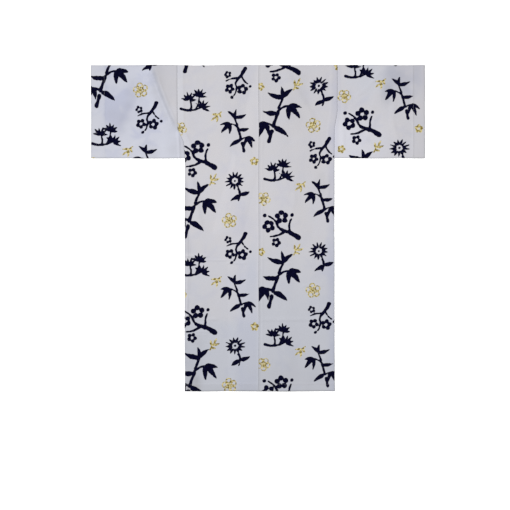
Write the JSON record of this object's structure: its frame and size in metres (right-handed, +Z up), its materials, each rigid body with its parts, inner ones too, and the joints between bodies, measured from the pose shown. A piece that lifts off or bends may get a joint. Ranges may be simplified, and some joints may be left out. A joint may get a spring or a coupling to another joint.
{
  "type": "yukata",
  "caption": "Unlined straight-cut cotton robe with wide square sleeves, laid out flat and face down so its back shows, with brush-like navy and gold plant motifs.",
  "frame": {"origin": "on the surface, under the middle of the laid-out garment", "axes": "+X across the garment from the wearer's left to the right, +Y from the hem to the shoulders, +Z up from the surface, out of the back"},
  "size_m": [1.334, 1.304, 0.0071],
  "materials": {
    "printed_cotton": "plain-weave cotton, pale grey-white with navy and gold print",
    "collar_cotton": "plain-weave cotton, folded double"
  },
  "bodies": {
    "root": {"body_left": "printed_cotton", "body_right": "printed_cotton", "overlap_left": "printed_cotton", "overlap_right": "printed_cotton", "sleeve_left": "printed_cotton", "sleeve_right": "printed_cotton", "collar": "collar_cotton"}
  },
  "joints": []
}
